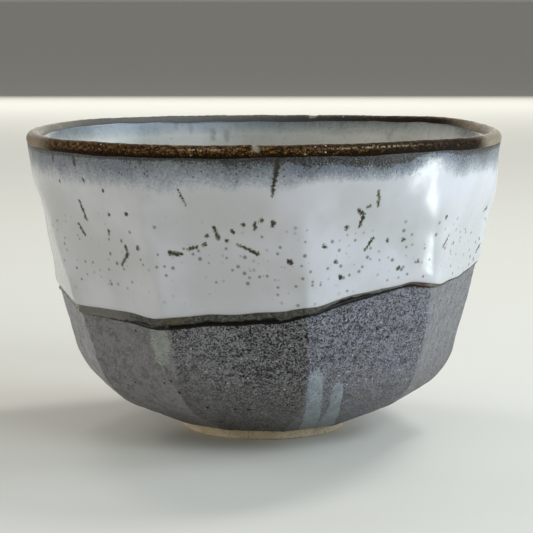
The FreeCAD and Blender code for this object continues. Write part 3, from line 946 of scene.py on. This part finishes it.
def rim_band():
    columns, rows = 960, 30
    azimuth = round_azimuths(columns)
    low, high = band_edges(azimuth)
    length = lengths_between(low, high, rows)
    roll = np.minimum(rolled_edge(length - low, 0.7), rolled_edge(high - length, 0.7))
    thick = GLAZE_COAT + 0.02 + 0.02 * field(rows, columns, 0.3, 0.39, 2.2, 31)
    thick = thick + 0.035 * field(rows, columns, 0.3, 0.39, 9.0, 32) - 0.16 * bump_at(LIP_TOP, 1.3, length)
    chips = mark_distance(azimuth, length, RIM_CHIPS)
    thick = thick - 0.16 * (1 - smooth(-0.3, 0.4, chips))
    thickness = 0.66 + (thick - 0.66) * roll
    around = turn(azimuth)
    sides = smooth(-56, -69, around) * smooth(-132, -112, around)
    sides = sides + smooth(58, 67, around) * smooth(124, 104, around)
    # Painted highlight: a thin glint line just below the lip's top, over one span left and one right of the
    # front
    painted_rim_glint = bump_at(1.2, 0.13, LIP_TOP - length)
    painted_rim_glint = painted_rim_glint * (0.85 * bump_at(0, 6, around + 14) + 0.75 * bump_at(0, 12, around - 25))
    # The crest is paler: partly thinner glaze over the lip, partly a painted reflection of the bright
    # background, strongest on the far side and at the front left
    far = 0.5 - 0.5 * np.cos(np.radians(azimuth))
    crest_thin_and_sheen = 0.10 + 0.40 * far + 0.22 * swell(azimuth, -24, 36)
    crest_thin_and_sheen = crest_thin_and_sheen * bump_at(LIP_TOP, 0.40, length)
    thin = 0.85 * sides + crest_thin_and_sheen + (1 - smooth(-0.1, 0.35, chips))
    faded = 0.9 * swell(azimuth, -146, 46) * smooth(LIP_TOP + 0.1, LIP_TOP + 0.7, length)
    dark = 1.3 * smooth(1.5, 2.9, LIP_TOP - length) + smooth(0.6, 1.2, length - LIP_TOP)
    # painted shade: the band is darkened on the front right, against the stronger light from that side
    dark = dark + 0.62 * swell(azimuth, 50, 30) + 0.05
    dark = dark * (1 - 0.9 * np.clip(sides, 0, 1))
    values = {"dark": dark, "thin": thin, "faded": faded, "painted_rim_glint": painted_rim_glint}
    values = {key: np.clip(value, 0, 1.4) for key, value in values.items()}
    rings, values = coat(azimuth, low, high, thickness, values)
    ring_piece("rim_band_iron", rings, values, rim_material(), "iron_brown_glaze", "rim_band")


def inner_glaze():
    columns, rows = 720, 120
    azimuth = round_azimuths(columns)
    top = band_edges(azimuth)[1] - BAND_OVERLAP
    length = lengths_between(SKIN_END, top, rows)
    relief = field(rows, columns, 0.9, 0.35, 9.0, 41) * smooth(18, 50, SKIN_END - length)
    thickness = GLAZE_COAT + 0.03 * relief - 0.22 * smooth(0.7, 0.0, length - top)
    values = {"free_of_iron": (below_lip(length) - 1.2) / 5.2, "below_lip": below_lip(length),
              "ink": mark_distance(azimuth, length, SMUDGES), "pooled": 1 - smooth(7, 16, height_at(length)),
              "blue_and_reflection": swell(azimuth, -142, 42)}
    rings, values = coat(azimuth, SKIN_END, top, thickness, values, back_rows=8)
    capped_piece("glaze_inside", rings, values, inner_glaze_material(), "pale_inner_glaze", "inner_glaze")


def hem():
    columns, rows = 960, 26
    azimuth = round_azimuths(columns)
    white_edge, low = edge_lines(azimuth)
    high = white_edge + HEM_UNDER_WHITE
    length = lengths_between(low, high, rows)
    width = np.maximum(white_edge - low, 0.3)
    bead_width = np.minimum(0.62, 0.30 + 0.35 * width)
    bead = bump_at(0, 1, (length - low - bead_width) / (0.6 * bead_width))
    thick = HEM_COAT - 0.10 + (BEAD_COAT - HEM_COAT + 0.10) * bead
    thick = thick + 0.03 * field(rows, columns, 0.13, 0.33, 3.0, 51)
    thickness = SLIP_COAT - 0.1 + (thick - SLIP_COAT + 0.1) * rolled_edge(length - low, bead_width)
    around = turn(azimuth)
    left = 1 - smooth(-46, -34, around)
    right = smooth(11, 20, around) * (1 - smooth(46, 54, around))
    pale = left * smooth(-100, -90, around) + 0.4 * swell(azimuth, 200, 20) + 0.7 * right
    warm = swell(azimuth, 46, 2.8)
    black = 0.52 + 0.34 * left + 0.12 * swell(azimuth, 10, 6) - 0.30 * right
    values = {"across": np.clip((white_edge - length) / width, 0, 1), "pale": np.clip(pale, 0, 1),
              "bead_line": black + 0.3 * warm, "warm": warm}
    rings, values = coat(azimuth, low, high, thickness, values)
    ring_piece("glaze_hem", rings, values, hem_material(), "olive_ash_glaze", "ash_glaze_hem")


def slip():
    columns, rows = 720, 124
    azimuth = round_azimuths(columns)
    low = np.zeros_like(azimuth)
    high = edge_lines(azimuth)[1] + SLIP_UNDER_HEM
    length = lengths_between(low, high, rows)
    height = height_at(length)
    coarse = by_flat(azimuth, height, FLAT_COARSE) * (1 - 0.25 * smooth(14, 44, np.abs(turn(azimuth, 2))))
    coarse = coarse * (1 - 0.34 * swell(azimuth, -20, 10))
    coarse = 0.06 + coarse * (0.34 + 0.66 * smooth(8, 32, height))
    rise = by_flat(azimuth, height, FLAT_RISE)
    tone = by_flat(azimuth, height, FLAT_TONE) + rise * smooth(10, 30, height)
    tone = tone + 0.26 * swell(azimuth, -12, 9) * smooth(14, 28, height)
    grains = field(rows, columns, 0.45, 0.42, 1.5, 61)
    lumps = field(rows, columns, 0.45, 0.42, 6.0, 62)
    pit = mark_distance(azimuth, length, SLIP_PITS)
    thick = SLIP_COAT + 0.045 * grains * coarse + 0.03 * lumps - 0.12 * (1 - smooth(-0.1, 0.4, pit))
    thickness = 0.08 + (thick - 0.08) * rolled_edge(length - low, 0.6)
    values = {"coarse": coarse, "tone": np.clip(tone, 0, 1), "cool": by_flat(azimuth, height, FLAT_COOL),
              "pit": pit}
    rings, values = coat(azimuth, low, high, thickness, values)
    ring_piece("slip_lower", rings, values, slip_material(), "dark_granular_slip", "slip_coat")


WALL_RADIUS_GUESS = 45


def patch_points(top, foot, top_half, foot_half, along_rows=70, across_rows=15, rise=0.14):
    """A thin smooth patch on the slip, drawn in front view from (x, z) at its top down to its foot."""
    share = np.linspace(0, 1, along_rows)[:, None]
    across = np.linspace(-1, 1, across_rows)[None, :]
    high = length_at_height(top[1])
    low = length_at_height(max(foot[1], FOOT_HEIGHT + 0.1))
    length = high + share * (low - high) + 0 * across
    run = high - length
    total = high - low
    half = top_half + (foot_half - top_half) * share
    end = np.minimum(rolled_edge(run, 1.6 * top_half), rolled_edge(total - run, 0.8 * foot_half))
    x = top[0] + (foot[0] - top[0]) * share + across * half * np.maximum(end, 0.02)
    x = x + 0.12 * np.sin(5.0 * share * math.pi) * np.sign(across)
    # how far round the wall an x is depends on its radius, so a few rounds bring the two together
    azimuth = np.degrees(np.arcsin(np.clip(x / WALL_RADIUS_GUESS, -1, 1)))
    for _ in range(6):
        spot = place_on_skin(azimuth, length, SLIP_COAT)
        azimuth = np.degrees(np.arcsin(np.clip(x / np.hypot(spot[..., 0], spot[..., 1]), -1, 1)))
    crown = np.sqrt(np.clip(1 - across ** 2, 0, 1)) * end
    face = place_on_skin(azimuth, length, SLIP_COAT - 0.08 + (0.08 + rise) * crown)
    behind = place_on_skin(azimuth, length, 0.05)
    return face, behind, crown


def patch_piece(name, strokes, material, slot, node):
    points, faces, margins, count = [], [], [], 0
    for stroke in strokes:
        face, behind, crown = patch_points(*stroke)
        rows, columns = face.shape[:2]
        size = rows * columns
        grid = grid_faces(rows, columns, close_rows=False, close_columns=False)
        row, column = np.arange(rows - 1), np.arange(columns - 1)
        rim = np.concatenate([column, columns - 1 + np.arange(rows - 1) * columns,
                              size - 1 - column, (rows - 1 - row) * columns])
        following = np.roll(rim, -1)
        wall = np.stack([rim, following, following + size, rim + size], -1)
        faces += [grid[:, ::-1] + count, grid + size + count, wall + count]
        points += [face.reshape(-1, 3), behind.reshape(-1, 3)]
        margins += [crown.ravel(), crown.ravel()]
        count += 2 * size
    mesh_piece(name, np.concatenate(points), [np.concatenate(faces)], {"margin": np.concatenate(margins)},
               material, slot, node)


# Patches, drawn in front view: (x, z) at the top and at the foot, then half width at each
GLAZE_RUN = (((-24.9, 33.2), (-23.9, 22.6), 4.0, 1.6),)
FINGER_MARKS = (((12.3, 23.0), (11.0, 2.8), 2.0, 2.7), ((17.8, 19.2), (14.9, 2.8), 1.4, 2.9))


def clay_body():
    columns = 480
    azimuth = round_azimuths(columns)
    length = np.linspace(0, SKIN_END, 150)[:, None]
    skin = place_on_skin(azimuth, length, 0.0)
    radius = np.concatenate([np.linspace(0.4, FOOT_INNER_RADIUS - 0.7, 40),
                             [FOOT_INNER_RADIUS - 0.5, FOOT_INNER_RADIUS, 18.0, 21.0]])[:, None]
    recess = 0.9 * smooth(0, 0.5, FOOT_INNER_RADIUS - 0.2 - radius)
    crown = 0.5 * (1 - smooth(0, 9, radius))
    spiral = 0.07 * np.sin(2.6 * radius + np.radians(azimuth)) * smooth(1, 3, radius)
    height = FOOT_HEIGHT + recess - crown + spiral * (recess > 0.5)
    angle = np.radians(azimuth)
    under = np.stack([radius * np.sin(angle), -radius * np.cos(angle), height + 0 * angle], -1)
    rings = np.concatenate([under, skin])
    capped_piece("clay_bowl", rings, {}, bare_clay_material("stoneware clay", (0.13, 0.095, 0.07),
                 (0.22, 0.165, 0.125)), "stoneware_clay", "clay_body")


def foot_ring():
    """The bare ring: a slightly waisted outside, rounded edges with a faintly uneven outer side, and a
    tapered inside.
    """
    columns = 720
    azimuth = round_azimuths(columns)
    outline = np.array([(FOOT_INNER_RADIUS, FOOT_HEIGHT), (15.5, 1.7), (15.75, 0.9), (15.95, 0.42),
                        (16.2, 0.14), (16.6, 0.0), (17.5, 0.0), (18.5, 0.0), (19.5, 0.0), (20.3, 0.0),
                        (20.72, 0.10), (20.93, 0.34), (20.96, 0.7), (20.86, 1.15), (20.84, 1.6),
                        (20.95, 2.05), (21.16, 2.4), (FOOT_RADIUS, FOOT_HEIGHT), (18.5, FOOT_HEIGHT + 0.01)])
    steps = np.arange(0, len(outline), 0.2)
    looped = np.concatenate([outline, outline[:1]])
    radius = np.interp(steps, np.arange(len(looped)), looped[:, 0])[:, None]
    height = np.interp(steps, np.arange(len(looped)), looped[:, 1])[:, None]
    a = np.radians(azimuth)
    side = smooth(19.5, 20.9, radius) * smooth(0.02, 0.4, height)
    relief = field(len(steps), columns, 0.25, 0.18, 1.8, 71)
    turning = 0.05 * np.sin(8 * height + a)
    radius = radius + side * (0.03 * relief + turning + 0.10 * np.sin(2 * a + 0.5) - 0.08)
    rings = np.stack([radius * np.sin(a), -radius * np.cos(a), height + 0 * a], -1)
    ring_piece("foot_bare_clay", rings, {}, bare_clay_material("bare clay foot", (0.56, 0.46, 0.31),
               (0.74, 0.64, 0.46)), "bare_clay_foot", "foot_ring")


# ---- the studio
def plain_material(name, colour, roughness):
    recipe = Recipe(name)
    recipe.colour = recipe.mix(recipe.span(recipe.noise(0.02, 2), 0.3, 0.7, 0.0, 0.25), colour,
                               tuple(0.96 * channel for channel in colour))
    return recipe.finish(roughness)


def floor():
    half = 60.0
    mesh = bpy.data.meshes.new("floor")
    mesh.from_pydata([(-half, -half, 0), (half, -half, 0), (half, half, 0), (-half, half, 0)], [],
                     [(0, 1, 2, 3)])
    mesh.materials.append(plain_material("pale floor", (0.77, 0.765, 0.70), 0.7))
    plane = bpy.data.objects.new("floor", mesh)
    bpy.context.scene.collection.objects.link(plane)


# The lights, in metres and watts: name, place, aim, width, height, power, colour
LIGHTS = (
    ("window right", (0.72, 0.06, 0.34), (0, 0, 0.05), 0.35, 0.50, 2.85, (0.775, 0.90, 1.0)),
    ("sunlit table", (0.208, -0.050, 0.012), (0.175, -0.050, 0.20), 0.036, 0.126, 0.14, (0.90, 1.0, 0.98)),
    ("table glow", (-1.12, -0.54, 0.24), (0, 0, 0.020), 0.90, 0.25, 3.45, (1, 0.97, 0.88)),
    ("bright wall", (0.0, 1.71, 0.33), (0, 0, 0.08), 1.35, 0.47, 5.8, (1, 0.99, 0.95)),
    ("front right", (0.55, -0.50, 0.50), (0, 0, 0.04), 0.5, 0.5, 3.0, (0.815, 0.91, 1.0)),
    ("left side", (-0.60, 0.30, 0.35), (0, 0, 0.04), 0.4, 0.5, 0.85, (1, 0.98, 0.93)),
    ("back pane left", (-0.30, 0.50, 0.90), (0, 0, 0.05), 0.14, 0.36, 0.9, (1, 0.99, 0.96)),
    ("back pane right", (0.44, 0.45, 0.90), (0, 0, 0.05), 0.14, 0.36, 3.2, (1, 0.99, 0.96)),
)
WORLD_STRENGTH = 0.235


def soft_light(name, place, aim, width, height, power, colour):
    light = bpy.data.lights.new(name, "AREA")
    light.shape = "RECTANGLE"
    light.size = width
    light.size_y = height
    light.energy = power
    light.color = colour
    lamp = bpy.data.objects.new(name, light)
    lamp.location = place
    lamp.rotation_euler = (Vector(aim) - Vector(place)).to_track_quat("-Z", "Y").to_euler()
    lamp.visible_camera = False
    bpy.context.scene.collection.objects.link(lamp)


def studio():
    world = bpy.data.worlds.new("studio air")
    world.use_nodes = True
    background = world.node_tree.nodes["Background"]
    background.inputs["Color"].default_value = (0.945, 0.925, 0.885, 1)
    background.inputs["Strength"].default_value = WORLD_STRENGTH
    bpy.context.scene.world = world
    for settings in LIGHTS:
        soft_light(*settings)
    bpy.context.scene.view_settings.view_transform = "Standard"


def camera():
    lens = bpy.data.cameras.new("camera")
    lens.lens = CAMERA_LENS
    lens.clip_start = 0.01
    view = bpy.data.objects.new("camera", lens)
    view.location = (CAMERA_SIDESTEP, -CAMERA_DISTANCE, CAMERA_HEIGHT)
    view.rotation_euler = (math.radians(90 - CAMERA_PITCH), 0, 0)
    bpy.context.scene.collection.objects.link(view)
    bpy.context.scene.camera = view


camera()
studio()
floor()
clay_body()
foot_ring()
inner_glaze()
outer_glaze()
rim_band()
hem()
slip()
patch_piece("run_on_slip", GLAZE_RUN, smooth_patch_material("smooth run glaze", (0.225, 0.250, 0.232),
            (0.31, 0.335, 0.315)), "smooth_run_glaze", "glaze_run")
patch_piece("wiped_marks", FINGER_MARKS, smooth_patch_material("wiped slip", (0.195, 0.225, 0.250),
            (0.285, 0.325, 0.360)), "wiped_slip", "finger_marks")
